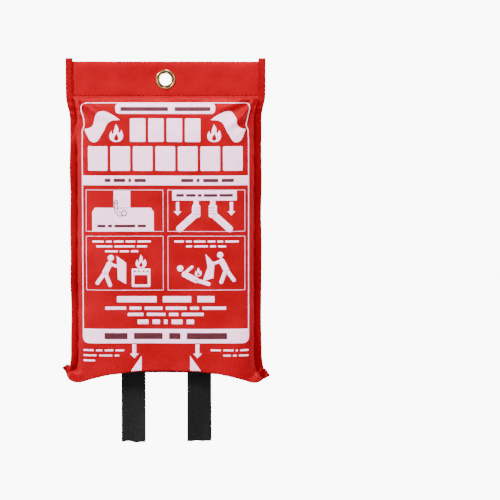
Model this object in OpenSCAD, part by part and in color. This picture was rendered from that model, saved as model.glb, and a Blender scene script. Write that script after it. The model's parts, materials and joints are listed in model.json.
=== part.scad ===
// Fire blanket in a soft wall pouch. A red coated-cloth pouch hangs from one eyelet, and a square
// glass-fibre blanket is folded inside it. Two webbing pull tapes, sewn round the blanket's hem,
// hang out of the open mouth at the bottom. Pulling them slides the blanket out.
//
// Frame: millimetres, +Z up, the printed front faces -Y. The origin is the centre of the eyelet.

/* [Header] */
// Flat width of the pouch at the header, over the side bindings
header_w = 205; // [190:1:230]
// Distance from the eyelet's centre up to the top edge
header_top = 18.5; // [16:0.5:24]
// Distance from the eyelet's centre down to the fold line where the pouch body begins
fold_drop = 17.5; // [16:0.5:22]

/* [Pouch] */
// Thickness of one ply of the coated cloth
ply = 0.6; // [0.4:0.05:0.8]
// Distance from the eyelet's centre down to the bottom corners
corner_drop = 313; // [305:1:330]
// Width over the side bindings halfway down the body
body_w = 197; // [192:1:205]
// Half of the pouch's inner thickness where it is fullest
inner_half_depth = 15; // [14:0.5:18]
// Half of the pouch's inner thickness at the mouth
mouth_half_depth = 13.6; // [13.2:0.1:15]
// How far the front lip arches up in its middle
front_arch = 14; // [8:0.5:15]
// How far the back lip arches up in its middle
back_arch = 8; // [4:0.5:9]
// Width of the side binding and of the sewn edge under it
binding_w = 8; // [6:0.5:10]
// How far the header bindings stand above the top edge
binding_rise = 3.5; // [1:0.5:5]

/* [Eyelet] */
// Radius of the eyelet's hole
eyelet_r = 6; // [5:0.25:6.5]
// Radius of the eyelet's flange
flange_r = 10; // [9.5:0.25:11]

/* [Blanket] */
// Width of the folded blanket
pack_w = 166; // [155:1:168]
// Height of the folded blanket
pack_h = 249; // [240:1:252]
// Thickness of the folded blanket
pack_t = 23; // [18:0.5:23]
// Radius of the rolled hem
hem_r = 2.2; // [1.8:0.1:2.4]

/* [Tapes] */
// Width of the webbing
tape_w = 25; // [20:1:26]
// Thickness of one ply of the webbing
tape_t = 1.1; // [0.9:0.1:1.3]
// Distance from the pouch's middle to the middle of each tape
tape_x = 34; // [30:1:50]
// Length of each tape's loose tail
tail_len = 66; // [50:1:110]

/* [Stitches] */
// Distance from one stitch to the next
stitch_pitch = 4.6; // [4:0.2:6]
// Length of thread that shows in one stitch
stitch_len = 3.2; // [2.4:0.2:3.6]
// Thickness of the thread
thread = 0.5; // [0.3:0.05:0.6]

/* [Hidden] */

front = -1;             // the side of the front panel along Y
back = 1;
left = -1;              // left as seen from the front
right = 1;
gap = 0.02;             // the least room between two pieces that only touch

binding_t = 0.6;        // thickness of the binding's own cloth
bound_t = ply + gap;    // half thickness of what a binding covers
seam_clear = 0.9;       // how far a side binding stops short of the seam

fold_z = -fold_drop;
corner_z = -corner_drop;
fold_swing = 45;        // how far the body folds at the header, each way
fold_gap = (bound_t + binding_t) * tan(fold_swing / 2) + 0.05;  // room for it on each side
header_z = fold_z + fold_gap;   // bottom of the header's pieces
body_z = fold_z - fold_gap;     // top of the body's pieces
body_h = body_z - corner_z;

// Body outline
shoulder_len = 27;      // height over which the body narrows below the header
flare_len = 30;         // height over which the bottom corners widen again
flare = 3.5;            // how much each bottom corner widens
puff_len = 42;          // height over which the body fills out below the header
mouth_len = 43;         // height over which the body thins towards the mouth
side_power = 7;         // how square the body's section is across its width
face_power = 2.6;       // how flat the body's faces are
panel_rows = 24;        // strips of a panel from top to bottom
panel_turns = 26;       // strips of a panel across its fullness

// Blanket
pack_top = -40;
pack_corner_r = 9;      // rounding of the folded stack seen from above
fold_corner_r = 7;      // rounding of the folded stack at its top and bottom
hem_z = pack_top - pack_h - 3.5;
hem_len = 158;

// Tapes
swing_z = -309;         // height of the line about which the tails swing
tape_swing = 70;        // how far a tail swings, each way
swing_gap = (tape_t + gap) * tan(tape_swing / 2) + 0.05;    // room for it on each side

// Eyelet
barrel_wall = 0.5;
washer_t = 0.5;

// Stitches
stitch_from_edge = 6.2; // distance of a binding's stitch line in from the edge
stitch_sides = 16;

function smooth(t) = let (c = min(1, max(0, t))) c * c * (3 - 2 * c);
function curve(v, p) = sign(v) * pow(abs(v), p);

// Half width over the bindings at height z
function edge_x(z) =
    body_w / 2
    + (header_w - body_w) / 2 * (1 - smooth((fold_z - z) / shoulder_len))
    + flare * smooth((corner_z + flare_len - z) / flare_len);

// Half width of the inside at height z, at the line where the panels are sewn together
function seam_x(z) = edge_x(z) - binding_w;

// Half of the inner thickness at height z
function half_depth(z) =
    let (
        t = min(1, max(0, (body_z - z) / puff_len)),
        full = inner_half_depth * sqrt(1 - pow(1 - t, 2.4))
    )
    full - (inner_half_depth - mouth_half_depth) * smooth((corner_z + mouth_len - z) / mouth_len);

// Height of a panel's bottom edge at distance x from the middle
function lip_z(x, arch) =
    let (s = min(1, abs(x) / (body_w / 2 - binding_w)))
    corner_z + arch * (1 - pow(s, 2.5));

// One row of a panel's surface at share v of its height, a layer's thickness out from the inside
function panel_row(v, arch, out) = [
    for (k = [-1 : panel_turns + 1])
        let (
            turn = 180 * min(panel_turns, max(0, k)) / panel_turns,
            side = cos(turn),
            z_flat = body_z - body_h * v,
            seam = seam_x(z_flat) + out,
            fin = edge_x(z_flat) - binding_t - gap,
            x = k < 0 ? fin : k > panel_turns ? -fin : seam * curve(side, 2 / side_power),
            z = body_z + (lip_z(x, arch) - body_z) * v,
            full = k < 0 || k > panel_turns ? 0 : half_depth(z) * curve(sin(turn), 2 / face_power)
        )
        [x, out + full + (out > 0 ? 0 : gap / 2), z]
];

// A closed shell between an inner and an outer grid of points of the same shape
module shell(inner, outer) {
    rows = len(inner);
    cols = len(inner[0]);
    per = rows * cols;
    function at(side, i, j) = side * per + i * cols + j;
    points = [for (side = [inner, outer]) for (r = side) for (p = r) p];
    sheet = [
        for (side = [0, 1]) for (i = [0 : rows - 2]) for (j = [0 : cols - 2])
            let (
                q = [at(side, i, j), at(side, i, j + 1), at(side, i + 1, j + 1), at(side, i + 1, j)],
                near = side == 0 ? q : [q[3], q[2], q[1], q[0]]
            )
            each [[near[0], near[1], near[2]], [near[0], near[2], near[3]]]
    ];
    ring = concat(
        [for (j = [0 : cols - 1]) [0, j]],
        [for (i = [1 : rows - 1]) [i, cols - 1]],
        [for (j = [cols - 2 : -1 : 0]) [rows - 1, j]],
        [for (i = [rows - 2 : -1 : 1]) [i, 0]]
    );
    rim = [
        for (k = [0 : len(ring) - 1])
            let (
                a = ring[k],
                b = ring[(k + 1) % len(ring)],
                ai = at(0, a[0], a[1]), bi = at(0, b[0], b[1]),
                ao = at(1, a[0], a[1]), bo = at(1, b[0], b[1])
            )
            each [[bi, ai, ao], [bi, ao, bo]]
    ];
    polyhedron(points, concat(sheet, rim), convexity = 8);
}

// A panel of the pouch's body, domed towards one side
module panel(side, arch) {
    inner = [for (i = [0 : panel_rows]) panel_row(i / panel_rows, arch, 0)];
    outer = [for (i = [0 : panel_rows]) panel_row(i / panel_rows, arch, ply)];
    mirror([0, side == front ? 1 : 0, 0]) shell(inner, outer);
}

// A flat strip along the side of the body between two distances in from its edge
module side_strip(inset_out, inset_in, half_t) {
    steps = 40;
    heights = [for (i = [0 : steps]) body_z - body_h * i / steps];
    outline = concat(
        [for (z = heights) [edge_x(z) - inset_out, z]],
        [for (i = [steps : -1 : 0]) [edge_x(heights[i]) - inset_in, heights[i]]]
    );
    rotate([90, 0, 0])
        linear_extrude(height = 2 * half_t, center = true) polygon(outline);
}

// One stitch of thread, along Z or along X
module stitch(along_x = false) {
    rotate(along_x ? [0, 90, 0] : [0, 0, 0])
        cylinder(h = stitch_len, r = thread / 2, center = true, $fn = stitch_sides);
}

module header_front_ply() {
    color("crimson") header_ply(front);
}

module header_back_ply() {
    color("crimson") header_ply(back);
}

// One ply of the header, rounded over at the top where the cloth is folded, with the eyelet's hole
module header_ply(side) {
    half = header_w / 2 - binding_t - gap;
    hole_r = eyelet_r + barrel_wall + 0.2;
    height = header_top - header_z;
    difference() {
        intersection() {
            translate([-half, side == front ? -ply : gap / 2, header_z])
                cube([2 * half, ply - gap / 2, height]);
            union() {
                translate([-half, -ply, header_z]) cube([2 * half, 2 * ply, height - ply]);
                translate([0, 0, header_top - ply])
                    rotate([0, 90, 0]) cylinder(h = 2 * half, r = ply, center = true, $fn = 32);
            }
        }
        rotate([90, 0, 0]) cylinder(h = 4 * ply, r = hole_r, center = true, $fn = 64);
    }
}

// The binding folded round one side edge of the header
module header_binding(side) {
    outer_t = bound_t + binding_t;
    inner_w = binding_w - binding_t;
    height = header_top + binding_rise - header_z;
    mirror([side == left ? 1 : 0, 0, 0])
        difference() {
            translate([header_w / 2 - binding_w, -outer_t, header_z])
                cube([binding_w, 2 * outer_t, height]);
            translate([header_w / 2 - binding_w - 1, -bound_t, header_z - 1])
                cube([inner_w + 1, 2 * bound_t, height + 2]);
        }
}

module left_header_binding() {
    color("firebrick") header_binding(left);
}

module right_header_binding() {
    color("firebrick") header_binding(right);
}

// The brass barrel with its domed front flange and the rim rolled over at the back, as one section
module eyelet() {
    flange_t = 1.1;
    rim_t = 0.7;
    rim_r = eyelet_r + 1.5;
    face = ply + gap;
    rim_y = -(face + washer_t + gap);
    steps = 12;
    // A half oval standing on the line y, from the hole out to radius r
    function oval(r, y, t) = [
        for (i = [0 : steps])
            let (a = 180 * i / steps)
            [(eyelet_r + r) / 2 - (r - eyelet_r) / 2 * cos(a), y + t * sin(a)]
    ];
    dome = oval(flange_r, face, flange_t);
    rim = oval(rim_r, rim_y, -rim_t);
    barrel = [[eyelet_r + barrel_wall, face], [eyelet_r + barrel_wall, rim_y]];
    color("goldenrod")
        rotate([90, 0, 0])
            rotate_extrude($fn = 96)
                polygon(concat(dome, barrel, [for (i = [0 : steps]) rim[steps - i]]));
}

// The flat brass ring that the rim is rolled over
module eyelet_washer() {
    washer_r = flange_r - 0.2;
    hole_r = eyelet_r + barrel_wall + 0.1;
    color("goldenrod")
        translate([0, ply + gap, 0])
            rotate([-90, 0, 0])
                difference() {
                    cylinder(h = washer_t, r = washer_r, $fn = 96);
                    translate([0, 0, -1]) cylinder(h = washer_t + 2, r = hole_r, $fn = 96);
                }
}

// Thread along the fold line, on the front and the back of the header
module header_stitching() {
    z = header_z + 0.6;
    y = ply + thread / 2 + gap;
    span = header_w / 2 - binding_w - 2;
    count = floor(2 * span / stitch_pitch);
    color("darkred")
        for (side = [front, back]) for (i = [0 : count])
            translate([(i - count / 2) * stitch_pitch, side * y, z]) stitch(along_x = true);
}

// Thread down the header's two bindings, front and back
module header_binding_stitching() {
    x = header_w / 2 - stitch_from_edge;
    y = bound_t + binding_t + thread / 2 + gap;
    count = floor((header_top - header_z - stitch_pitch) / stitch_pitch);
    color("darkred")
        for (end = [left, right]) for (side = [front, back]) for (i = [0 : count])
            translate([end * x, side * y, header_z + stitch_pitch * (i + 0.65)]) stitch();
}

module front_panel() {
    color("crimson") panel(front, front_arch);
}

module back_panel() {
    color("crimson") panel(back, back_arch);
}

// The binding folded round one sewn side edge of the body
module side_binding(side) {
    outer_t = bound_t + binding_t;
    mirror([side == left ? 1 : 0, 0, 0])
        difference() {
            side_strip(0, binding_w - seam_clear, outer_t);
            side_strip(binding_t, binding_w + 2, bound_t);
        }
}

module left_side_binding() {
    color("firebrick") side_binding(left);
}

module right_side_binding() {
    color("firebrick") side_binding(right);
}

// Thread down one side binding, front and back
module side_stitching(side) {
    y = bound_t + binding_t + thread / 2 + gap;
    count = floor((body_h - stitch_pitch) / stitch_pitch);
    for (face = [front, back]) for (i = [0 : count])
        let (z = body_z - stitch_pitch * (i + 0.65))
        translate([side * (edge_x(z) - stitch_from_edge), face * y, z])
            stitch();
}

module left_side_stitching() {
    color("darkred") side_stitching(left);
}

module right_side_stitching() {
    color("darkred") side_stitching(right);
}

// A rectangle with round corners, as one outline
module rounded(w, h, r) {
    corner_steps = 8;
    corners = [[1, 1, 0], [-1, 1, 90], [-1, -1, 180], [1, -1, 270]];
    polygon([
        for (c = corners) for (i = [0 : corner_steps])
            let (a = c[2] + 90 * i / corner_steps)
            [c[0] * (w / 2 - r) + r * cos(a), c[1] * (h / 2 - r) + r * sin(a)]
    ]);
}

// The folded cloth, as a plain solid of the stack's outer shape
module blanket() {
    color("whitesmoke")
        translate([0, 0, pack_top - pack_h / 2])
            intersection() {
                linear_extrude(height = pack_h, center = true) rounded(pack_w, pack_t, pack_corner_r);
                rotate([90, 0, 90])
                    linear_extrude(height = pack_w, center = true) rounded(pack_t, pack_h, fold_corner_r);
            }
}

// The cloth's bottom edge, rolled and sewn
module blanket_hem() {
    color("whitesmoke")
        translate([0, 0, hem_z]) rotate([0, 90, 0])
            cylinder(h = hem_len, r = hem_r, center = true, $fn = 32);
}

// Thread along the rolled hem, between and beside the tapes
module hem_stitching() {
    count = floor(hem_len / stitch_pitch) - 1;
    clear_of_tape = tape_w / 2 + stitch_len / 2 + 0.5;
    color("lightgray")
        for (i = [0 : count])
            let (x = (i - count / 2) * stitch_pitch)
            if (abs(abs(x) - tape_x) > clear_of_tape)
                translate([x, -(hem_r + thread / 2 + gap), hem_z]) stitch(along_x = true);
}

// One webbing tape where it is looped round the hem and sewn, down to the line where it swings
module tape_loop(side) {
    inner_r = hem_r + 0.15;
    narrow = 8;         // height over which the two plies come together below the hem
    arc_steps = 8;
    low_z = swing_z + swing_gap - hem_z;
    // The section of one face of the loop, from the bottom up and over the hem
    function face_line(r, y_low) = concat(
        [[y_low, low_z], [y_low, -narrow]],
        [for (i = [0 : arc_steps]) let (a = 180 * i / arc_steps) [r * cos(a), r * sin(a)]],
        [[-y_low, -narrow], [-y_low, low_z]]
    );
    outer = face_line(inner_r + tape_t, tape_t + gap);
    inner = face_line(inner_r, gap);
    last = len(inner) - 1;
    translate([side * tape_x, 0, hem_z])
        rotate([90, 0, 90])
            linear_extrude(height = tape_w, center = true)
                polygon(concat(outer, [for (i = [0 : last]) inner[last - i]]));
}

module left_tape_loop() {
    color("black") tape_loop(left);
}

module right_tape_loop() {
    color("black") tape_loop(right);
}

// The box of thread that closes the loop just below the hem, on both faces of the tape
module tape_stitching(side) {
    y = tape_t + gap + thread / 2 + gap;
    across = 4;
    box_top = hem_z - 9.6;
    box_h = 5;
    for (face = [front, back]) translate([side * tape_x, face * y, 0]) {
        for (z = [box_top, box_top - box_h]) for (i = [0 : across - 1])
            translate([(i - (across - 1) / 2) * stitch_pitch, 0, z]) stitch(along_x = true);
        for (x = [-1, 1])
            translate([x * across / 2 * stitch_pitch, 0, box_top - box_h / 2]) stitch();
    }
}

module left_tape_stitching() {
    color("dimgray") tape_stitching(left);
}

module right_tape_stitching() {
    color("dimgray") tape_stitching(right);
}

// The loose end of one tape: two plies, the back one cut a little shorter
module tape_tail(side) {
    shorter = 3;
    for (face = [front, back])
        let (length = (face == front ? tail_len : tail_len - shorter) - swing_gap)
        translate([side * tape_x, face * (tape_t / 2 + gap), swing_z - swing_gap - length / 2])
            cube([tape_w, tape_t, length], center = true);
}

module left_tape_tail() {
    color("black") tape_tail(left);
}

module right_tape_tail() {
    color("black") tape_tail(right);
}

header_front_ply();
header_back_ply();
left_header_binding();
right_header_binding();
eyelet();
eyelet_washer();
header_stitching();
header_binding_stitching();
front_panel();
back_panel();
left_side_binding();
right_side_binding();
left_side_stitching();
right_side_stitching();
blanket();
blanket_hem();
hem_stitching();
left_tape_loop();
right_tape_loop();
left_tape_stitching();
right_tape_stitching();
left_tape_tail();
right_tape_tail();
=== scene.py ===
"""A fire blanket in its soft wall pouch, hung from one eyelet, with both pull tapes out of the mouth."""

import json
import math

import bpy
import numpy as np
from mathutils import Matrix, Vector
from mathutils.bvhtree import BVHTree


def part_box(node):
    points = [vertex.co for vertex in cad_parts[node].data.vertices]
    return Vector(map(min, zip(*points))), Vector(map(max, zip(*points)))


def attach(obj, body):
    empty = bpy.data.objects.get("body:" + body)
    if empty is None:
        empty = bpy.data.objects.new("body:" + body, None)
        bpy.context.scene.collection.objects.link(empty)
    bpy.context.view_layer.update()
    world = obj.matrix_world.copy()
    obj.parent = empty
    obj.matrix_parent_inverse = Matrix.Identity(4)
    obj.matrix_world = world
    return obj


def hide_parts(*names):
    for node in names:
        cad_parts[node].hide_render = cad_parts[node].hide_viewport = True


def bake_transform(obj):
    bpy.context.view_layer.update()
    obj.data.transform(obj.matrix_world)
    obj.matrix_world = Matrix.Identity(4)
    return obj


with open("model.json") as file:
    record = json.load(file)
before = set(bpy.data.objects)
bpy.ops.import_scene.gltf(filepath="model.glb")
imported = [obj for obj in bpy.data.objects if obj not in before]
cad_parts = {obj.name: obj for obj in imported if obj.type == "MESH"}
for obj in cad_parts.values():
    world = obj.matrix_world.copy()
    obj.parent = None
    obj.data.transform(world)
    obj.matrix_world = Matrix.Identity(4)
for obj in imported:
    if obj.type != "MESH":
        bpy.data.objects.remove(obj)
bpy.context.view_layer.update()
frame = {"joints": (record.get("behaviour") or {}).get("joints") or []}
bpy.ops.object.select_all(action="DESELECT")

FRONT, BACK = -1, 1
LEFT, RIGHT = -1, 1

# The pouch's cut, read from the frame
TOP_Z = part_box("header_front_ply")[1].z
CORNER_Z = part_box("left_side_binding")[0].z
BINDING_TOP_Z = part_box("left_header_binding")[1].z
FOLD_Z = frame["joints"][0]["pos_m"][2]
HEADER_HALF_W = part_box("right_header_binding")[1].x
HEM_LOW, HEM_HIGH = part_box("blanket_hem")
HEM_Z = (HEM_LOW.z + HEM_HIGH.z) / 2
SWING_Z = frame["joints"][2]["pos_m"][2]
TAPE_X = abs(frame["joints"][2]["pos_m"][0])

# The pouch's shape, as the design has it
BODY_HALF_W = 0.0985
PLY = 0.0006            # thickness of the coated cloth
BINDING_W = 0.008
BINDING_HALF_T = 0.00122
FULL_HALF_DEPTH = 0.015
MOUTH_HALF_DEPTH = 0.0136
SHOULDER_LEN = 0.027
PUFF_LEN = 0.042
MOUTH_LEN = 0.043
FLARE_LEN = 0.030
FLARE = 0.0035
FRONT_ARCH, BACK_ARCH = 0.014, 0.008
SIDE_POWER, FACE_POWER = 7, 2.6
EYELET_R, GROOVE_R, FLANGE_R = 0.006, 0.0077, 0.010
STITCH_PITCH = 0.0046
STITCH_LEN = 0.0032
STITCH_INSET = 0.0062
THREAD_R = 0.00025


# ---------------------------------------------------------------- shapes in numbers

def smooth(t):
    t = np.clip(t, 0, 1)
    return t * t * (3 - 2 * t)


def ripples(a, b, wavelength, seed, waves=7):
    """Smooth irregular ups and downs of about that wavelength, mostly between -1 and 1."""
    draw = np.random.default_rng(seed)
    total = 0
    for _ in range(waves):
        angle, phase = draw.uniform(0, 2 * math.pi, 2)
        k = 2 * math.pi / (wavelength * draw.uniform(0.7, 1.5))
        total = total + np.sin(k * (a * math.cos(angle) + b * math.sin(angle)) + phase)
    return total / math.sqrt(waves)


def bump_at(distance, width):
    """1 at distance 0, falling to nothing over about twice the width."""
    return np.exp(-(distance / width) ** 2)


def edge_x(z):
    """Half width of the pouch over its bindings at height z."""
    shoulder = (HEADER_HALF_W - BODY_HALF_W) * (1 - smooth((FOLD_Z - z) / SHOULDER_LEN))
    return BODY_HALF_W + shoulder + FLARE * smooth((CORNER_Z + FLARE_LEN - z) / FLARE_LEN)


def half_depth(z):
    """Half of the inner thickness of the pouch at height z."""
    t = np.clip((FOLD_Z - z) / PUFF_LEN, 0, 1)
    full = FULL_HALF_DEPTH * np.sqrt(1 - (1 - t) ** 2.4)
    thinner = (FULL_HALF_DEPTH - MOUTH_HALF_DEPTH) * smooth((CORNER_Z + MOUTH_LEN - z) / MOUTH_LEN)
    return full - thinner


def lip_z(x, arch):
    """Height of a panel's bottom edge at distance x from the middle."""
    share = np.minimum(1, np.abs(x) / (BODY_HALF_W - BINDING_W))
    return CORNER_Z + arch * (1 - share ** 2.5)


def hang(points):
    """Moves points of the pouch as the soft cloth hangs: wavy edges, and bottom corners that curl."""
    p = np.array(points, float)
    x, z = p[..., 0].copy(), p[..., 2].copy()
    to_edge = smooth((np.abs(x) - edge_x(z) + 0.035) / 0.035)
    off_eyelet = smooth((np.hypot(x, z) - 1.3 * FLANGE_R) / 0.03)
    header = smooth((z - FOLD_Z + 0.010) / 0.02)
    side = np.sign(x)
    wave = 0.0014 * ripples(x * 0.3, z, 0.080, 5) * to_edge
    wave = wave + 0.0009 * ripples(x, z * 0.6, 0.09, 8) * header * off_eyelet
    shoulder = bump_at(z - FOLD_Z + 0.014, 0.011) * to_edge
    wave = wave + 0.0014 * np.sin((z - FOLD_Z) / 0.0014 + side) * shoulder * 0.5
    p[..., 0] -= side * 0.0010 * shoulder
    p[..., 1] += wave
    corner = smooth((CORNER_Z + 0.018 - z) / 0.012) * smooth((np.abs(x) - 0.083) / 0.010)
    turn = corner * np.where(side < 0, 1.0, 0.5)
    pivot_x, pivot_z = 0.0905, CORNER_Z + 0.013
    out, up = side * p[..., 0] - pivot_x, z - pivot_z
    p[..., 0] = side * (pivot_x + out * np.cos(turn) - up * np.sin(turn))
    p[..., 1] += corner * (0.0022 * np.sin((out - up) / 0.0022 + side) - 0.003 * turn)
    p[..., 2] = pivot_z + out * np.sin(turn) + up * np.cos(turn)
    return p


# ---------------------------------------------------------------- making and finishing pieces

def read_points(mesh):
    flat = np.empty(3 * len(mesh.vertices))
    mesh.vertices.foreach_get("co", flat)
    return flat.reshape(-1, 3)


def along(points, axis):
    """Length run so far along one axis of a grid of points."""
    steps = np.linalg.norm(np.diff(points, axis=axis), axis=2)
    return np.insert(np.cumsum(steps, axis=axis), 0, 0, axis=axis)


def grid_piece(name, points):
    """A sheet whose grid of points is [row, column], with a UV map in metres of cloth."""
    rows, columns = points.shape[:2]
    bpy.ops.mesh.primitive_grid_add(x_subdivisions=columns - 1, y_subdivisions=rows - 1, size=1)
    piece = bpy.context.object
    piece.name = name
    mesh = piece.data
    flat = read_points(mesh)
    column = np.rint((flat[:, 0] + 0.5) * (columns - 1)).astype(int)
    row = np.rint((flat[:, 1] + 0.5) * (rows - 1)).astype(int)
    mesh.vertices.foreach_set("co", points[row, column].ravel())
    across = along(points, 1)
    cloth = np.stack([across - across[:, -1:] / 2, along(points, 0)], axis=2)
    corner = np.empty(len(mesh.loops), int)
    mesh.loops.foreach_get("vertex_index", corner)
    mesh.uv_layers[0].data.foreach_set("uv", cloth[row, column][corner].ravel())
    mesh.update()
    bpy.ops.object.shade_smooth()
    bpy.ops.object.select_all(action="DESELECT")
    return piece


def pick(piece):
    bpy.ops.object.select_all(action="DESELECT")
    piece.select_set(True)
    bpy.context.view_layer.objects.active = piece


def apply_modifier(piece, kind, **settings):
    pick(piece)
    modifier = piece.modifiers.new(kind.title(), kind)
    for key, value in settings.items():
        setattr(modifier, key, value)
    bpy.ops.object.modifier_apply(modifier=modifier.name)
    bpy.ops.object.select_all(action="DESELECT")


def give_thickness(piece, thickness, inner_slot=0):
    """Adds the cloth's thickness behind its outer face."""
    apply_modifier(piece, "SOLIDIFY", thickness=thickness, offset=-1,
                   material_offset=inner_slot, material_offset_rim=0)


def paint(piece, *materials):
    piece.data.materials.clear()
    for material in materials:
        piece.data.materials.append(material)


def outward(points):
    """Unit normals of a grid of points."""
    normal = np.cross(np.gradient(points, axis=1), np.gradient(points, axis=0))
    return normal / np.maximum(np.linalg.norm(normal, axis=2, keepdims=True), 1e-12)


# ---------------------------------------------------------------- materials

class Nodes:
    """A short way to write a material's nodes."""

    def __init__(self, name):
        self.material = bpy.data.materials.new(name)
        self.material.use_nodes = True
        self.tree = self.material.node_tree
        self.shader = self.tree.nodes["Principled BSDF"]

    def put(self, target, value):
        if isinstance(value, bpy.types.NodeSocket):
            self.tree.links.new(value, target)
        else:
            target.default_value = value

    def add(self, kind, out=0, settings=None, **inputs):
        node = self.tree.nodes.new("ShaderNode" + kind)
        for key, value in (settings or {}).items():
            setattr(node, key, value)
        for key, value in inputs.items():
            socket = node.inputs[int(key[1:])] if key[0] == "i" and key[1:].isdigit() else node.inputs[key]
            self.put(socket, value)
        return node.outputs[out]

    def surface(self, **inputs):
        for key, value in inputs.items():
            self.put(self.shader.inputs[key.replace("_", " ")], value)

    def cloth_uv(self):
        return self.add("TexCoord", "UV")

    def place(self):
        return self.add("TexCoord", "Object")

    def noise(self, vector, size, detail=4.0, roughness=0.55):
        return self.add("TexNoise", "Fac", Vector=vector, Scale=1 / size, Detail=detail, Roughness=roughness)

    def math(self, operation, a, b=0.0, c=0.0):
        return self.add("Math", 0, {"operation": operation}, i0=a, i1=b, i2=c)

    def between(self, factor, low, high, to_low=0.0, to_high=1.0):
        return self.add("MapRange", 0, None, Value=factor, i1=low, i2=high, i3=to_low, i4=to_high)

    def mix(self, factor, a, b):
        return self.add("Mix", 2, {"data_type": "RGBA"}, i0=factor, i6=a, i7=b)

    def threads(self, vector, pitch, direction):
        """Rounded ribs across the cloth, one to a pitch, running along the other direction."""
        return self.add("TexWave", "Fac", {"wave_type": "BANDS", "bands_direction": direction},
                        Vector=vector, Scale=0.314159 / pitch, Distortion=0.0)

    def bump(self, height, distance, strength=1.0, normal=None):
        inputs = {"Height": height, "Distance": distance, "Strength": strength}
        if normal is not None:
            inputs["Normal"] = normal
        return self.add("Bump", 0, None, **inputs)


def rgb(red, green, blue):
    return (red, green, blue, 1.0)


def coated_cloth(name, deep, bright, roughness):
    """Satin coating over a fine scrim, with a little tone and gloss variation and small creases."""
    n = Nodes(name)
    uv, place = n.cloth_uv(), n.place()
    scrim = n.math("MULTIPLY", n.threads(uv, 0.0009, "X"), n.threads(uv, 0.0009, "Y"))
    grain = n.noise(place, 0.0011, 3)
    handled = n.noise(place, 0.045, 5)
    tone = n.between(n.math("ADD", handled, n.math("MULTIPLY", grain, 0.35)), 0.35, 0.95)
    creases = n.noise(place, 0.012, 6, 0.6)
    normal = n.bump(creases, 0.0009, 0.30)
    normal = n.bump(scrim, 0.00014, 0.55, normal)
    normal = n.bump(grain, 0.00010, 0.35, normal)
    n.surface(Base_Color=n.mix(tone, deep, bright), Normal=normal,
              Roughness=n.between(handled, 0.3, 0.7, roughness - 0.06, roughness + 0.08),
              Specular_IOR_Level=0.20, Specular_Tint=rgb(1.0, 0.04, 0.06))
    return n.material


def print_ink(name, thin, full):
    """Screen-printed ink, laid thinly, so that the scrim shows through it."""
    n = Nodes(name)
    place = n.place()
    cover = n.noise(place, 0.004, 5)
    scrim = n.noise(place, 0.0009, 2)
    tone = n.between(cover, 0.35, 0.7)
    n.surface(Base_Color=n.mix(tone, thin, full),
              Normal=n.bump(n.math("ADD", cover, scrim), 0.00012, 0.4),
              Roughness=n.between(cover, 0.3, 0.7, 0.42, 0.55), Specular_IOR_Level=0.25)
    return n.material


def sewing_thread(name, deep, bright):
    """Twisted sewing thread."""
    n = Nodes(name)
    place = n.place()
    twist = n.noise(place, 0.00035, 2)
    n.surface(Base_Color=n.mix(twist, deep, bright), Normal=n.bump(twist, 0.00015, 0.7),
              Roughness=0.7, Specular_IOR_Level=0.1, Specular_Tint=bright)
    return n.material


def polished_brass():
    """Pale plated brass with fine scratches, a little tarnish, and painted shade that darkens the ring's
    groove.
    """
    n = Nodes("polished_brass")
    place = n.place()
    flat = n.add("VectorMath", 0, {"operation": "MULTIPLY"}, i0=place, i1=(1, 0, 1))
    radius = n.add("VectorMath", 1, {"operation": "LENGTH"}, i0=flat)
    # painted shade: a near-black ring of colour along the groove, where shade falls in the recess
    painted_groove_shade = n.between(n.math("ABSOLUTE", n.math("SUBTRACT", radius, GROOVE_R)), 0.0003, 0.0007, 1.0, 0.0)
    tarnish = n.noise(place, 0.006, 5)
    scratches = n.noise(place, 0.0007, 4)
    metal = n.mix(n.between(tarnish, 0.35, 0.7), rgb(0.56, 0.40, 0.17), rgb(0.38, 0.26, 0.095))
    n.surface(Base_Color=n.mix(painted_groove_shade, metal, rgb(0.030, 0.018, 0.004)),
              Metallic=1.0, Roughness=n.between(n.math("ADD", tarnish, scratches), 0.7, 1.4, 0.20, 0.36),
              Normal=n.bump(scratches, 0.00003, 0.5))
    return n.material


def glass_cloth():
    """Satin-weave glass-fibre cloth: short floats in slanting rows, glossy along the fibres."""
    n = Nodes("glass_cloth")
    uv, place = n.cloth_uv(), n.place()
    floats = n.add("TexBrick", 1, {"offset": 0.4, "offset_frequency": 1}, Vector=uv, Scale=1.0,
                   i5=0.00022, i6=1.0, i8=0.0019, i9=0.00095)
    twill = n.threads(n.add("Mapping", 0, None, Vector=uv, Rotation=(0, 0, 0.62)), 0.0024, "X")
    fibres = n.threads(uv, 0.00095, "Y")
    loft = n.noise(place, 0.02, 5)
    shade = n.math("MULTIPLY_ADD", floats, -0.8, n.math("MULTIPLY_ADD", loft, 0.35, 0.62))
    shade = n.math("MULTIPLY_ADD", twill, 0.28, shade)
    height = n.math("MULTIPLY_ADD", floats, -1.0, n.math("ADD", fibres, twill))
    normal = n.bump(height, 0.00030, 0.9, n.bump(loft, 0.0016, 0.5))
    n.surface(Base_Color=n.mix(n.between(shade, 0.0, 1.0), rgb(0.40, 0.41, 0.41), rgb(0.88, 0.87, 0.87)),
              Normal=normal, Roughness=n.between(loft, 0.3, 0.7, 0.38, 0.52),
              Specular_IOR_Level=0.6, Sheen_Weight=0.15)
    return n.material


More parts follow.
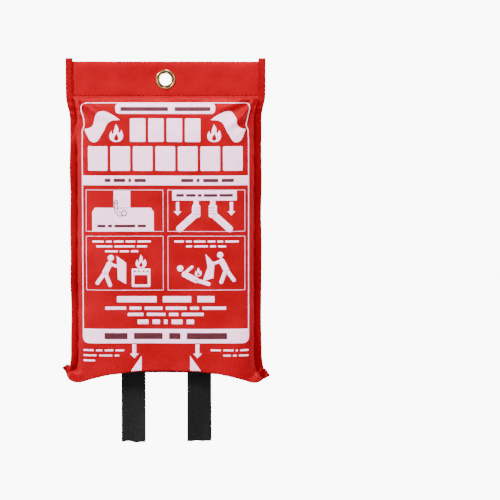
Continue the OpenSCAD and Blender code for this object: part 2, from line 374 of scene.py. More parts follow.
def webbing():
    """Black ribbed webbing with slightly fuzzy, paler rib tops."""
    n = Nodes("webbing")
    uv, place = n.cloth_uv(), n.place()
    ribs = n.threads(uv, 0.0012, "Y")
    yarns = n.threads(uv, 0.0016, "X")
    weave = n.math("MULTIPLY_ADD", yarns, 0.5, ribs)
    fuzz = n.noise(place, 0.0012, 5)
    tone = n.math("MULTIPLY", n.between(weave, 0.2, 1.4), n.between(fuzz, 0.3, 0.7, 0.5, 1.0))
    n.surface(Base_Color=n.mix(tone, rgb(0.0015, 0.0015, 0.0016), rgb(0.0065, 0.0065, 0.0068)),
              Normal=n.bump(weave, 0.00035, 0.8, n.bump(fuzz, 0.0004, 0.4)),
              Roughness=n.between(fuzz, 0.3, 0.7, 0.55, 0.75), Specular_IOR_Level=0.12,
              Sheen_Weight=0.02, Sheen_Roughness=0.5)
    return n.material


def pale_floor():
    """A white studio floor that glows all round, more behind the object than in front of it."""
    n = Nodes("pale_floor")
    place = n.place()
    away = n.between(n.add("VectorMath", 1, {"operation": "LENGTH"}, i0=place), 2.4, 4.0)
    behind = n.between(n.add("SeparateXYZ", 1, None, Vector=place), -3.0, 2.0, 0.3, 1.0)
    glow = n.math("MULTIPLY", away, n.math("MULTIPLY", behind, 9.0))
    n.surface(Base_Color=rgb(0.90, 0.90, 0.90), Roughness=0.9, Specular_IOR_Level=0.0,
              Emission_Color=rgb(1, 1, 1), Emission_Strength=glow)
    return n.material


RED_CLOTH = coated_cloth("red_coated_cloth", rgb(0.180, 0.0003, 0.0034), rgb(0.255, 0.0004, 0.0048), 0.32)
RED_BINDING = coated_cloth("red_binding_cloth", rgb(0.145, 0.0003, 0.0028), rgb(0.205, 0.0004, 0.0038), 0.42)
# the inner face: the cloth's matt back, coloured darker than the outside as painted shade of the pouch's
# inside
CLOTH_INSIDE_SHADED = coated_cloth("cloth_inside", rgb(0.10, 0.006, 0.014), rgb(0.16, 0.012, 0.026), 0.62)
INK = print_ink("print_ink", rgb(0.84, 0.46, 0.68), rgb(0.93, 0.53, 0.76))
FINE_INK = print_ink("fine_ink", rgb(0.045, 0.004, 0.009), rgb(0.070, 0.007, 0.014))
RED_THREAD = sewing_thread("red_thread", rgb(0.070, 0.0006, 0.0020), rgb(0.150, 0.001, 0.004))
WHITE_THREAD = sewing_thread("white_thread", rgb(0.60, 0.60, 0.58), rgb(0.86, 0.86, 0.84))
DARK_THREAD = sewing_thread("dark_thread", rgb(0.002, 0.002, 0.002), rgb(0.010, 0.010, 0.010))
BRASS = polished_brass()
GLASS_CLOTH = glass_cloth()
WEBBING = webbing()


# ---------------------------------------------------------------- camera, light and floor

def make_camera():
    """Nearly level, a little above the pouch, which hangs left of the middle of the view."""
    distance, elevation = 3.0, math.radians(6)
    aim = Vector((0.0865, 0, -0.1755))
    view_half_width = 0.2575
    data = bpy.data.cameras.new("camera")
    data.lens = data.sensor_width / 2 * distance / view_half_width
    camera = bpy.data.objects.new("camera", data)
    bpy.context.scene.collection.objects.link(camera)
    back = Vector((0, -math.cos(elevation), math.sin(elevation)))
    camera.location = aim + distance * back
    camera.rotation_euler = (-back).to_track_quat("-Z", "Y").to_euler()
    bpy.context.scene.camera = camera


def soft_light(name, place, size, power):
    data = bpy.data.lights.new(name, "AREA")
    data.size, data.energy = size, power
    light = bpy.data.objects.new(name, data)
    bpy.context.scene.collection.objects.link(light)
    light.location = place
    toward = Vector((0, 0, -0.15)) - Vector(place)
    light.rotation_euler = toward.to_track_quat("-Z", "Y").to_euler()


def make_studio():
    soft_light("key_light", (-1.5, -1.0, 1.0), 0.4, 112)
    soft_light("top_light", (0.25, -0.45, 1.5), 0.6, 52)
    soft_light("fill_light", (1.5, -1.6, 0.3), 1.0, 26)
    soft_light("back_light", (0.6, 1.6, 1.0), 1.0, 40)
    world = bpy.data.worlds.new("studio")
    bpy.context.scene.world = world
    world.use_nodes = True
    world.node_tree.nodes["Background"].inputs["Color"].default_value = rgb(1.0, 1.0, 1.0)
    world.node_tree.nodes["Background"].inputs["Strength"].default_value = 0.6
    floor_z = -1.2
    bpy.ops.mesh.primitive_plane_add(size=240, location=(0, 0, floor_z))
    floor = bpy.context.object
    floor.name = "floor"
    floor.visible_glossy = False    # its glow would lie as a white haze on the cloth
    paint(floor, pale_floor())
    bpy.ops.object.select_all(action="DESELECT")


make_camera()
make_studio()


# ---------------------------------------------------------------- the pouch's cloth

CLOTH_STEP = 0.0016     # spacing of the cloth's points


def across_section(z, x_samples, depth):
    """Height of the domed cloth over the middle plane at each x, for one row of a panel."""
    seam = edge_x(z) - BINDING_W + PLY
    share = np.minimum(1, np.abs(x_samples) / seam)
    return PLY + depth * (1 - share ** SIDE_POWER) ** (1 / FACE_POWER)


def panel_row(station, arch, columns):
    """One row of a panel at a station: 0 at the lip, 1 at the fold, 2 at the header's top."""
    side_room = BINDING_HALF_T
    dense = np.linspace(-1, 1, 801)
    dense = np.sign(dense) * (1 - (1 - np.abs(dense)) ** 1.6)
    if station <= 1:
        z_side = CORNER_Z + (FOLD_Z - CORNER_Z) * station
        x = dense * (edge_x(z_side) - side_room / 2)
        low = lip_z(x, arch)
        z = low + (FOLD_Z - low) * station
        y = across_section(z, x, half_depth(z))
    else:
        z = np.full(len(dense), FOLD_Z + (TOP_Z - FOLD_Z) * min(1, station - 1))
        x = dense * (HEADER_HALF_W - side_room / 2)
        turn = max(0, station - 2) * math.pi / 2
        y = np.full(len(dense), PLY * math.cos(turn))
        z = z - PLY * (1 - math.sin(turn))
    path = np.stack([x, y, z], axis=1)
    run = np.insert(np.cumsum(np.linalg.norm(np.diff(path, axis=0), axis=1)), 0, 0)
    even = np.linspace(0, run[-1], columns)
    return np.stack([np.interp(even, run, path[:, k]) for k in range(3)], axis=1)


def panel_stations(arch):
    """Stations that are evenly spaced along the middle of the cloth, from its lip over the top."""
    dense = np.concatenate([1 - np.linspace(1, 0, 1500) ** 2, np.linspace(1.001, 3, 600)])
    body = np.minimum(dense, 1)
    low = CORNER_Z + arch
    z = low + (FOLD_Z - low) * body + (TOP_Z - FOLD_Z) * np.clip(dense - 1, 0, 1)
    y = np.where(dense <= 1, half_depth(z), 0)
    turned = np.clip(dense - 2, 0, 1) * PLY * math.pi / 2
    run = np.insert(np.cumsum(np.hypot(np.diff(y), np.diff(z)) + np.diff(turned)), 0, 0)
    rows = int(run[-1] / CLOTH_STEP)
    return np.interp(np.linspace(0, run[-1], rows), run, dense)


def shoulder_creases(x, z, seed):
    """Pleats that fan out from the top corners, where the wide header is gathered into the body."""
    total = np.zeros_like(x)
    for side in (LEFT, RIGHT):
        draw = np.random.default_rng(seed + side)
        inward, down = 0.0925 - side * x, FOLD_Z + 0.001 - z
        reach, angle = np.hypot(inward, down), np.arctan2(down, inward)
        for middle in np.linspace(0.25, 1.25, 4) + draw.uniform(-0.08, 0.08, 4):
            height, length = draw.uniform(0.0020, 0.0034), draw.uniform(0.036, 0.060)
            bend = middle + draw.uniform(-9, 9) * reach
            fade = smooth(reach / 0.008) * (1 - smooth((reach - 0.3 * length) / (0.7 * length)))
            off = (angle - bend) * np.maximum(reach, 0.004)
            width = 0.0012 + 0.07 * reach
            total += height * fade * (bump_at(off, width) - 0.75 * bump_at(off - 1.6 * width, width))
    return total * smooth((FOLD_Z - z) / 0.003)


def sculpt(points, seed):
    """How far the cloth stands out from its plain shape, before it hangs."""
    x, z = points[..., 0], points[..., 2]
    body = smooth((FOLD_Z - 0.002 - z) / 0.03)
    from_seam = edge_x(z) - BINDING_W - np.abs(x)
    inside = smooth(from_seam / 0.02)
    broad = 0.0010 * ripples(x, z * 0.7, 0.085, seed) * body * inside
    medium = 0.00030 * ripples(x, z, 0.024, seed + 1) * body * smooth(from_seam / 0.006)
    near_seam = bump_at(np.maximum(from_seam, 0) - 0.003, 0.006)
    puckers = 0.00028 * ripples(x * 0.2, z, 0.011, seed + 2) * near_seam * smooth((FOLD_Z - z) / 0.01)
    shelf = 0.0007 * bump_at(FOLD_Z - 0.0024 - z, 0.0014) - 0.0005 * bump_at(FOLD_Z - 0.0060 - z, 0.0022)
    shelf = shelf * inside * (1 + 0.5 * ripples(x, x * 0, 0.045, seed + 7))
    under_fold = bump_at(FOLD_Z - 0.005 - z, 0.0050) * inside
    gathers = 0.00040 * ripples(x, z * 0.2, 0.012, seed + 3) * under_fold
    header = smooth((z - FOLD_Z - 0.002) / 0.006) * smooth((np.hypot(x, z) - 0.012) / 0.012)
    drift = 0.00012 * ripples(x, z, 0.02, seed + 4) * header
    below_top = TOP_Z - z
    rolled_top = 0.0009 * smooth(below_top / 0.005) * (1 - smooth((below_top - 0.004) / 0.018))
    rolled_top = rolled_top * smooth(from_seam / 0.004) * smooth((np.hypot(x, z) - 0.011) / 0.008)
    groove = -0.00020 * bump_at(z - FOLD_Z - 0.0012, 0.0012)
    lip = bump_at(z - lip_z(x, FRONT_ARCH), 0.008)
    flutter = 0.0006 * ripples(x, z * 0.1, 0.035, seed + 5) * lip * inside
    folds = 0.0011 * ripples(x, z * 0.12, 0.055, seed + 8) * smooth((CORNER_Z + 0.075 - z) / 0.06) * inside
    return broad + medium + puckers + gathers + drift + flutter + folds + rolled_top + groove + shelf


def punch_hole(piece, radius):
    """Takes out the cloth inside the eyelet."""
    pick(piece)
    bpy.ops.object.mode_set(mode="EDIT")
    bpy.ops.mesh.select_mode(type="FACE")
    bpy.ops.mesh.select_all(action="DESELECT")
    bpy.ops.object.mode_set(mode="OBJECT")
    for face in piece.data.polygons:
        face.select = math.hypot(face.center.x, face.center.z) < radius
    bpy.ops.object.mode_set(mode="EDIT")
    bpy.ops.mesh.delete(type="FACE")
    bpy.ops.mesh.select_mode(type="VERT")
    bpy.ops.object.mode_set(mode="OBJECT")
    bpy.ops.object.select_all(action="DESELECT")


def make_panel_cloth(name, side, arch, seed, nodes):
    """Half of the pouch: a header ply and the panel below it, in one piece of cloth."""
    columns = int(0.226 / CLOTH_STEP)
    points = np.array([panel_row(s, arch, columns) for s in panel_stations(arch)])
    points[..., 0] *= -side
    points[..., 1] *= side
    out = outward(points)
    pleats = side * shoulder_creases(points[..., 0], points[..., 2], seed + 6)
    points = points + out * sculpt(points, seed)[..., None]
    points[..., 1] += pleats
    piece = grid_piece(name, hang(points))
    punch_hole(piece, (EYELET_R + FLANGE_R) / 2)
    # the inside faces take the darkened inner colour, which is painted shade
    paint(piece, RED_CLOTH, CLOTH_INSIDE_SHADED)
    give_thickness(piece, PLY * 0.92, inner_slot=1)
    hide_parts(*nodes)
    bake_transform(piece)
    return piece


front_cloth = make_panel_cloth("front_cloth", FRONT, FRONT_ARCH, 11, ["header_front_ply", "front_panel"])
make_panel_cloth("back_cloth", BACK, BACK_ARCH, 31, ["header_back_ply", "back_panel"])


# ---------------------------------------------------------------- the bindings

def make_binding(name, side, nodes):
    """One strip folded round the side edge, from above the header down to the bottom corner."""
    leg = BINDING_W - 0.0005
    turns = np.linspace(-math.pi / 2, math.pi / 2, 9)
    legs_in = np.linspace(leg, BINDING_HALF_T, 6)[:-1]
    inset = np.concatenate([legs_in, BINDING_HALF_T * (1 - np.cos(turns)), legs_in[::-1]])
    y = np.concatenate([np.full(5, -BINDING_HALF_T), BINDING_HALF_T * np.sin(turns),
                        np.full(5, BINDING_HALF_T)])
    rows = int((BINDING_TOP_Z - CORNER_Z) / 0.0015)
    heights = np.linspace(CORNER_Z, BINDING_TOP_Z, rows)
    x = edge_x(heights)[:, None] - inset[None, :]
    z = np.repeat(heights[:, None], len(inset), axis=1)
    groove = 0.00022 * bump_at(inset - STITCH_INSET, 0.0007)
    slack = 0.00018 * ripples(x, z, 0.012, 50 + side)
    body = smooth((FOLD_Z - z) / 0.01)
    pulled_in = 0.0004 * ripples(z, z * 0, 0.07, 60 + side) * body * (inset < STITCH_INSET)
    depth = np.sign(y) * (np.abs(y) - groove + np.abs(slack) * smooth(np.abs(y) / BINDING_HALF_T))
    points = np.stack([side * (x + pulled_in), depth, z], axis=2)
    if side == LEFT:
        points = points[:, ::-1]
    piece = grid_piece(name, hang(points))
    paint(piece, RED_BINDING)
    give_thickness(piece, 0.00055)
    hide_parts(*nodes)
    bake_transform(piece)
    return piece


make_binding("left_binding", LEFT, ["left_header_binding", "left_side_binding"])
make_binding("right_binding", RIGHT, ["right_header_binding", "right_side_binding"])


# ---------------------------------------------------------------- thread

def one_stitch():
    """A short bowed length of thread whose ends dip into the cloth. It lies along X and stands on -Y."""
    bpy.ops.mesh.primitive_cylinder_add(vertices=6, radius=THREAD_R, depth=STITCH_LEN,
                                        rotation=(0, math.pi / 2, 0))
    bpy.ops.object.transform_apply(rotation=True)
    stitch = bpy.context.object
    bpy.ops.object.mode_set(mode="EDIT")
    bpy.ops.mesh.select_all(action="SELECT")
    for share in (-0.36, -0.18, 0, 0.18, 0.36):
        bpy.ops.mesh.select_all(action="SELECT")
        bpy.ops.mesh.bisect(plane_co=(share * STITCH_LEN, 0, 0), plane_no=(1, 0, 0))
    bpy.ops.object.mode_set(mode="OBJECT")
    points = read_points(stitch.data)
    bow = np.abs(points[:, 0]) / (STITCH_LEN / 2)
    points[:, 1:] *= (1 - 0.35 * bow ** 4)[:, None]
    points[:, 1] += 0.0005 * bow ** 3
    stitch.data.vertices.foreach_set("co", points.ravel())
    bpy.ops.object.shade_smooth()
    bpy.ops.object.select_all(action="DESELECT")
    return stitch


def sew(name, spots, material, body, nodes, hung=True):
    """Copies one stitch to each spot: a place, the thread's direction and the side it shows on."""
    copies = []
    for place, direction, out in spots:
        copy = stitch_model.copy()
        copy.data = stitch_model.data.copy()
        turn = Matrix((Vector(direction), -Vector(out), Vector(direction).cross(-Vector(out)))).transposed()
        copy.data.transform(turn.to_4x4())
        at = hang(np.array(place)) if hung else place
        copy.data.transform(Matrix.Translation(Vector(at)))
        bpy.context.scene.collection.objects.link(copy)
        copies.append(copy)
    pick(copies[0])
    for copy in copies:
        copy.select_set(True)
    bpy.ops.object.join()
    row = bpy.context.object
    row.name = name
    bpy.ops.object.select_all(action="DESELECT")
    paint(row, material)
    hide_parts(*nodes)
    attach(row, body)
    return row


def out_of(face):
    return (0, face, 0)


def header_stitches():
    y = PLY + THREAD_R * 0.6
    low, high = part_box("header_stitching")
    z = (low.z + high.z) / 2
    count = int(round((high.x - low.x - STITCH_LEN) / STITCH_PITCH))
    for face in (FRONT, BACK):
        for i in range(count + 1):
            yield ((i - count / 2) * STITCH_PITCH, face * y, z), (1, 0, 0), out_of(face)


def binding_stitches(side, top, bottom):
    y = BINDING_HALF_T + THREAD_R * 0.3
    count = int((top - bottom - STITCH_PITCH) / STITCH_PITCH)
    for face in (FRONT, BACK):
        for i in range(count + 1):
            z = top - STITCH_PITCH * (i + 0.65)
            x = side * (float(edge_x(z)) - STITCH_INSET)
            yield (x, face * y, z), (0, 0, 1), out_of(face)


stitch_model = one_stitch()
sew("header_thread", header_stitches(), RED_THREAD, "header", ["header_stitching"])
header_sides = [s for side in (LEFT, RIGHT) for s in binding_stitches(side, TOP_Z, FOLD_Z + 0.001)]
sew("header_binding_thread", header_sides, RED_THREAD, "header",
    ["header_binding_stitching"])
for side, side_name in ((LEFT, "left"), (RIGHT, "right")):
    sew(side_name + "_side_thread", binding_stitches(side, FOLD_Z - 0.0005, CORNER_Z), RED_THREAD,
        "pouch", [side_name + "_side_stitching"])


# ---------------------------------------------------------------- the eyelet

def turned(name, profile, material, nodes):
    """A ring turned about Y: a circle drawn out from one point (radius, y) of its section to the next."""
    radius, y = profile[0]
    bpy.ops.mesh.primitive_circle_add(vertices=96, radius=radius, location=(0, y, 0),
                                      rotation=(math.pi / 2, 0, 0))
    bpy.ops.object.transform_apply(location=True, rotation=True)
    ring = bpy.context.object
    ring.name = name
    bpy.ops.object.mode_set(mode="EDIT")
    bpy.ops.mesh.select_all(action="SELECT")
    for next_radius, next_y in profile[1:] + profile[:1]:
        bpy.ops.mesh.extrude_region_move(TRANSFORM_OT_translate={"value": (0, next_y - y, 0)})
        grow = next_radius / radius
        bpy.ops.transform.resize(value=(grow, 1, grow), center_override=(0, 0, 0))
        radius, y = next_radius, next_y
    bpy.ops.mesh.select_all(action="SELECT")
    bpy.ops.mesh.remove_doubles(threshold=1e-6)
    bpy.ops.mesh.normals_make_consistent(inside=False)
    bpy.ops.object.mode_set(mode="OBJECT")
    bpy.ops.object.shade_smooth_by_angle(angle=math.radians(40))
    bpy.ops.object.select_all(action="DESELECT")
    paint(ring, material)
    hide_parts(*nodes)
    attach(ring, "header")


def half_oval(inner, outer, y, height, steps=12):
    middle, half = (inner + outer) / 2, (outer - inner) / 2
    angles = [math.pi * i / steps for i in range(steps + 1)]
    return [(middle - half * math.cos(a), y + height * math.sin(a)) for a in angles]


face_y = PLY + 0.00002
washer_t = 0.0005
rim_y = face_y + washer_t + 0.00002
barrel_out = EYELET_R + 0.0005
lip = half_oval(EYELET_R, EYELET_R + 0.0014, -face_y - 0.00005, -0.00105)
flange = half_oval(EYELET_R + 0.0020, FLANGE_R, -face_y - 0.00005, -0.00085)
rim = half_oval(EYELET_R, EYELET_R + 0.0015, rim_y, 0.0007)
eyelet_section = lip + flange + [(FLANGE_R, -face_y), (barrel_out, -face_y), (barrel_out, rim_y)] + rim[::-1]
turned("brass_eyelet", eyelet_section, BRASS, ["eyelet"])
washer_in, washer_out = EYELET_R + 0.0006, FLANGE_R - 0.0004
washer_section = [(washer_in, face_y), (washer_out, face_y), (washer_out + 0.0002, face_y + 0.0002),
                  (washer_out, face_y + washer_t), (washer_in, face_y + washer_t)]
turned("brass_washer", washer_section, BRASS, ["eyelet_washer"])


# ---------------------------------------------------------------- the blanket, its hem and tapes

BLANKET_LOW, BLANKET_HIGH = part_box("blanket")
HEM_R = (HEM_HIGH.z - HEM_LOW.z) / 2
TAPE_W = 0.025
TAPE_T = 0.0011
PLIES = 6
PLY_PITCH = (BLANKET_HIGH.y - BLANKET_LOW.y) / (4 * PLIES)
GLASS_T = 0.00042


def arc(middle, radius, start, end, steps):
    """Points along a turn, each with the angle at which it looks out."""
    return [(middle[0] + radius * math.cos(a), middle[1] + radius * math.sin(a), a)
            for a in np.linspace(start, end, steps + 1)]


def across_path():
    """The first fold: the cloth's width laid to and fro in plies. Points are (x, depth in the bundle)."""
    half = BLANKET_HIGH.x - PLY_PITCH / 2
    first = -PLY_PITCH * (PLIES - 1) / 2
    path = []
    for i in range(PLIES):
        side = RIGHT if i % 2 == 0 else LEFT
        depth = first + i * PLY_PITCH
        path += [(x, depth) for x in np.linspace(-side * half, side * half, 25)]
        if i < PLIES - 1:
            turn = arc((0, 0), PLY_PITCH / 2, -math.pi / 2, math.pi / 2, 6)[1:-1]
            path += [(side * (half + a), depth + PLY_PITCH / 2 + b) for a, b, _ in turn]
    return np.array(path)


def along_path():
    """The second fold: the bundle folded in half twice. Points are (y, z, angle it looks out at)."""
    bundle = PLIES * PLY_PITCH
    inner, outer = bundle / 2, bundle * 1.5
    top = BLANKET_HIGH.z - outer - bundle / 2
    bottom = BLANKET_LOW.z + bundle
    edge = BLANKET_LOW.z
    path = [(-inner, z, math.pi) for z in np.linspace(edge, top, 40)[:-1]]
    path += arc((0, top), inner, math.pi, 0, 12)
    path += [(inner, z, 0) for z in np.linspace(top, bottom, 40)[1:-1]]
    path += [(y, z, math.pi - a) for y, z, a in arc((bundle, bottom), inner, -math.pi, 0, 12)]
    path += [(outer, z, math.pi) for z in np.linspace(bottom, top, 40)[1:-1]]
    path += [(y, z, a + math.pi) for y, z, a in arc((0, top), outer, 0, math.pi, 24)]
    path += [(-outer, z, 2 * math.pi) for z in np.linspace(top, edge, 40)[1:]]
    return np.array(path)


def settle(points):
    """Small unevenness of the folded stack, the same for all plies, so that none cross."""
    p = np.array(points, float)
    x, y, z = (p[..., k].copy() for k in range(3))
    near_end = smooth((BLANKET_LOW.z + 0.03 - z) / 0.03)
    near_side = smooth((np.abs(x) - 0.055) / 0.028)
    p[..., 1] = y * (0.92 - 0.22 * near_side) + 0.0008 * ripples(x, z, 0.075, 70)
    p[..., 1] += 0.0005 * ripples(x * 0.5, z, 0.024, 73)
    p[..., 2] += 0.0012 * ripples(x, y * 4, 0.10, 71) * (near_end + 0.3)
    p[..., 0] += 0.0009 * ripples(y * 8, z, 0.05, 72)
    return p


def make_blanket():
    across, path = across_path(), along_path()
    facing = path[:, 2]
    y = path[:, 0][:, None] + np.cos(facing)[:, None] * across[:, 1][None, :]
    z = path[:, 1][:, None] + np.sin(facing)[:, None] * across[:, 1][None, :]
    x = np.repeat(across[:, 0][None, :], len(path), axis=0)
    piece = grid_piece("folded_glass_cloth", settle(np.stack([x, y, z], axis=2)))
    paint(piece, GLASS_CLOTH)
    apply_modifier(piece, "SOLIDIFY", thickness=GLASS_T, offset=0, use_even_offset=False)
    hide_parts("blanket")
    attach(piece, "folded_blanket")
    return piece


def span(start, end, step):
    """Evenly spaced values from start to end, about a step apart."""
    return np.linspace(start, end, max(2, int(round(abs(end - start) / step)) + 1))


def ribbon(name, path, x_values):
    """A strip of cloth that follows a path of (y, z), as wide as the x values say."""
    path = np.asarray(path)
    points = np.zeros((len(path), len(x_values), 3))
    points[..., 0] = x_values[None, :]
    points[..., 1:] = path[:, None, :]
    return grid_piece(name, points)


def join_pieces(name, pieces):
    bpy.ops.object.select_all(action="DESELECT")
    for piece in pieces:
        piece.select_set(True)
    bpy.context.view_layer.objects.active = pieces[0]
    bpy.ops.object.join()
    pieces[0].name = name
    bpy.ops.object.select_all(action="DESELECT")
    return pieces[0]


def hem_roll_path():
    """The cloth's edge rolled up on itself, from the top of the roll inwards."""
    turns, outer, inner = 2.1, HEM_R - GLASS_T / 2, 0.0009
    angles = np.linspace(math.pi / 2, math.pi / 2 - 2 * math.pi * turns, 64)
    radii = np.linspace(outer, inner, 64)
    return np.stack([radii * np.cos(angles), HEM_Z + radii * np.sin(angles)], axis=1)


def make_hem():
    """The blanket's rolled bottom hem, with cloth up into the folds except where the tapes go through."""
    half, slit = HEM_HIGH.x, TAPE_W / 2 + 0.0012
    parts = [ribbon("roll", hem_roll_path(), span(-half, half, 0.003))]
    web = [(0, z) for z in span(HEM_Z + HEM_R - GLASS_T / 2, HEM_Z + 0.010, 0.002)]
    for low, high in ((-half, -TAPE_X - slit), (-TAPE_X + slit, TAPE_X - slit), (TAPE_X + slit, half)):
        parts.append(ribbon("web", web[::-1], span(low, high, 0.003)))
    hem = join_pieces("rolled_hem", parts)
    points = read_points(hem.data)
    points[:, 1] += 0.0003 * ripples(points[:, 0], 0, 0.05, 81)
    points[:, 2] += 0.0004 * ripples(points[:, 0], 0, 0.06, 82)
    hem.data.vertices.foreach_set("co", points.ravel())
    paint(hem, GLASS_CLOTH)
    apply_modifier(hem, "SOLIDIFY", thickness=GLASS_T, offset=0)
    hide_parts("blanket_hem")
    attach(hem, "folded_blanket")
    return hem


def strap_path(front_z, back_z):
    """One length of tape: up from its front end, over the hem and down to its back end."""
    flat, bend = TAPE_T / 2 + 0.00005, HEM_R + 0.00015 + TAPE_T / 2
    narrow = HEM_Z - 0.008
    path = [(-flat, z) for z in span(front_z, narrow, 0.0025)]
    turn = np.linspace(-0.25, math.pi + 0.25, 25)
    path += [(-bend * math.cos(a), HEM_Z + bend * math.sin(a)) for a in turn]
    path += [(flat, z) for z in span(narrow, back_z, 0.0025)]
    return path


def make_strap(name, side, seed, nodes):
    """A webbing tape doubled round the hem, its two plies hanging from the mouth."""
    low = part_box(nodes[1])[0].z
    strap = ribbon(name, strap_path(low, low + 0.003), span(-TAPE_W / 2, TAPE_W / 2, 0.0021))
    points = read_points(strap.data)
    x, z = points[:, 0].copy(), points[:, 2].copy()
    hanging = smooth((SWING_Z + 0.004 - z) / (SWING_Z - low))
    points[:, 0] += side * TAPE_X
    points[:, 1] += 0.0022 * hanging ** 2 * np.sign(points[:, 1]) * (x / TAPE_W) ** 2 * 4
    points[:, 1] += hanging * (0.0035 * math.cos(seed) * x / TAPE_W * 2 + 0.003 * math.sin(seed) * hanging)
    points[:, 2] += hanging * 0.0004 * ripples(x, 0, 0.012, seed)
    strap.data.vertices.foreach_set("co", points.ravel())
    paint(strap, WEBBING)
    apply_modifier(strap, "SOLIDIFY", thickness=TAPE_T * 0.86, offset=0)
    apply_modifier(strap, "BEVEL", width=0.00022, segments=2, limit_method="ANGLE")
    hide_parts(*nodes)
    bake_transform(strap)


def hem_stitches():
    y = HEM_R + THREAD_R
    low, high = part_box("hem_stitching")
    count = int((high.x - low.x) / STITCH_PITCH)
    for i in range(count + 1):
        x = low.x + STITCH_LEN / 2 + i * STITCH_PITCH
        if abs(abs(x) - TAPE_X) > TAPE_W / 2 + STITCH_LEN / 2:
            yield (x, -y, HEM_Z), (1, 0, 0), out_of(FRONT)


def tape_stitches(side):
    """A box of stitches that closes the loop under the hem, on both faces."""
    low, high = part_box(("left" if side == LEFT else "right") + "_tape_stitching")
    y = TAPE_T + THREAD_R * 0.4
    for face in (FRONT, BACK):
        for z in (low.z + THREAD_R, high.z - THREAD_R):
            for i in range(4):
                yield (side * TAPE_X + (i - 1.5) * STITCH_PITCH, face * y, z), (1, 0, 0), out_of(face)
        for x in (-2 * STITCH_PITCH, 2 * STITCH_PITCH):
            yield (side * TAPE_X + x, face * y, (low.z + high.z) / 2), (0, 0, 1), out_of(face)


folded_cloth = make_blanket()
rolled_hem = make_hem()
make_strap("left_tape", LEFT, 4, ["left_tape_loop", "left_tape_tail"])
make_strap("right_tape", RIGHT, 1, ["right_tape_loop", "right_tape_tail"])
sew("hem_thread", hem_stitches(), WHITE_THREAD, "folded_blanket", ["hem_stitching"], hung=False)
for side, side_name in ((LEFT, "left"), (RIGHT, "right")):
    sew(side_name + "_tape_thread", tape_stitches(side), DARK_THREAD, "folded_blanket",
        [side_name + "_tape_stitching"], hung=False)
bpy.data.objects.remove(stitch_model)


# ---------------------------------------------------------------- the printed label

MM = 0.001
PRINT_STEP = 0.0016
INK_LIFT = 0.00012


def lay_down(shape):
    """Stands a flat shape up in the XZ plane, in front of the pouch, with its place in its mesh."""
    shape.rotation_euler = (math.pi / 2, 0, 0)
    shape.scale = (MM, MM, MM)
    bpy.ops.object.select_all(action="DESELECT")
    shape.select_set(True)
    bpy.context.view_layer.objects.active = shape
    bpy.ops.object.transform_apply(location=True, rotation=True, scale=True)
    bpy.ops.object.select_all(action="DESELECT")
    return shape


def block(x0, x1, z0, z1, radius=1.0, turn=0.0):
    """A rounded rectangle, in millimetres."""
    bpy.ops.mesh.primitive_plane_add(size=1)
    shape = bpy.context.object
    shape.scale = (abs(x1 - x0), abs(z1 - z0), 1)
    bpy.ops.object.transform_apply(scale=True)
    bpy.ops.object.mode_set(mode="EDIT")
    bpy.ops.mesh.select_all(action="SELECT")
    if radius > 0:
        bpy.ops.mesh.bevel(offset=min(radius, 0.49 * abs(x1 - x0), 0.49 * abs(z1 - z0)), segments=5,
                           affect="VERTICES")
    bpy.ops.transform.rotate(value=turn, orient_axis="Z", center_override=(0, 0, 0))
    bpy.ops.transform.translate(value=((x0 + x1) / 2, (z0 + z1) / 2, 0))
    bpy.ops.object.mode_set(mode="OBJECT")
    return shape


def keyline(x0, x1, z0, z1, radius, width):
    """The outline of a rounded rectangle."""
    shape = block(x0, x1, z0, z1, radius)
    pick(shape)
    bpy.ops.object.mode_set(mode="EDIT")
    bpy.ops.mesh.select_all(action="SELECT")
    bpy.ops.mesh.inset(thickness=width)
    bpy.ops.mesh.delete(type="FACE")
    bpy.ops.object.mode_set(mode="OBJECT")
    return shape


def disc(x, z, radius):
    bpy.ops.mesh.primitive_circle_add(vertices=28, radius=radius, fill_type="NGON", location=(x, z, 0))
    bpy.ops.object.transform_apply(location=True)
    return bpy.context.object


def limb(x0, z0, x1, z1, width):
    """A bar with round ends from one point to another."""
    length = math.hypot(x1 - x0, z1 - z0) + width
    middle_x, middle_z = (x0 + x1) / 2, (z0 + z1) / 2
    return block(middle_x - length / 2, middle_x + length / 2, middle_z - width / 2, middle_z + width / 2,
                 width / 2, -math.atan2(z1 - z0, x1 - x0))


def outline(*rings):
    """A filled flat shape, with holes where one ring of points lies in another.

    A point (x, z) is a corner, and (x, z, 1) is one that the outline runs smoothly through.
    """
    data = bpy.data.curves.new("outline", "CURVE")
    data.dimensions = "2D"
    data.fill_mode = "BOTH"
    data.resolution_u = 6
    for ring in rings:
        spline = data.splines.new("BEZIER")
        spline.bezier_points.add(len(ring) - 1)
        for knot, (x, z, *smooth_here) in zip(spline.bezier_points, ring):
            knot.co = (x, z, 0)
            knot.handle_left_type = knot.handle_right_type = "AUTO" if smooth_here else "VECTOR"
        spline.use_cyclic_u = True
    shape = bpy.data.objects.new("outline", data)
    bpy.context.scene.collection.objects.link(shape)
    pick(shape)
    bpy.ops.object.convert(target="MESH")
    return bpy.context.object


def ring(x, z, outer, inner):
    circles = [[(x + r, z, 1), (x, z + r, 1), (x - r, z, 1), (x, z - r, 1)] for r in (outer, inner)]
    return outline(*circles)


def hook(x, z):
    """A drawn hook with a ball on its shank, its point through a ring."""
    lines = [(-1.6, -1.8, -1.1, -10.0), (-1.1, -10.0, 2.2, -14.2), (2.2, -14.2, 6.6, -14.4),
             (1.3, -1.8, 1.5, -9.0), (1.5, -9.0, 4.0, -11.4)]
    drawn = [limb(x + x0, z + z0, x + x1, z + z1, 0.7) for x0, z0, x1, z1 in lines]
    return drawn + [ring(x, z, 2.1, 1.35), ring(x + 8.2, z - 11.6, 3.1, 2.2)]


def mirrored(points):
    return [(-x, *rest) for x, *rest in points[::-1]]


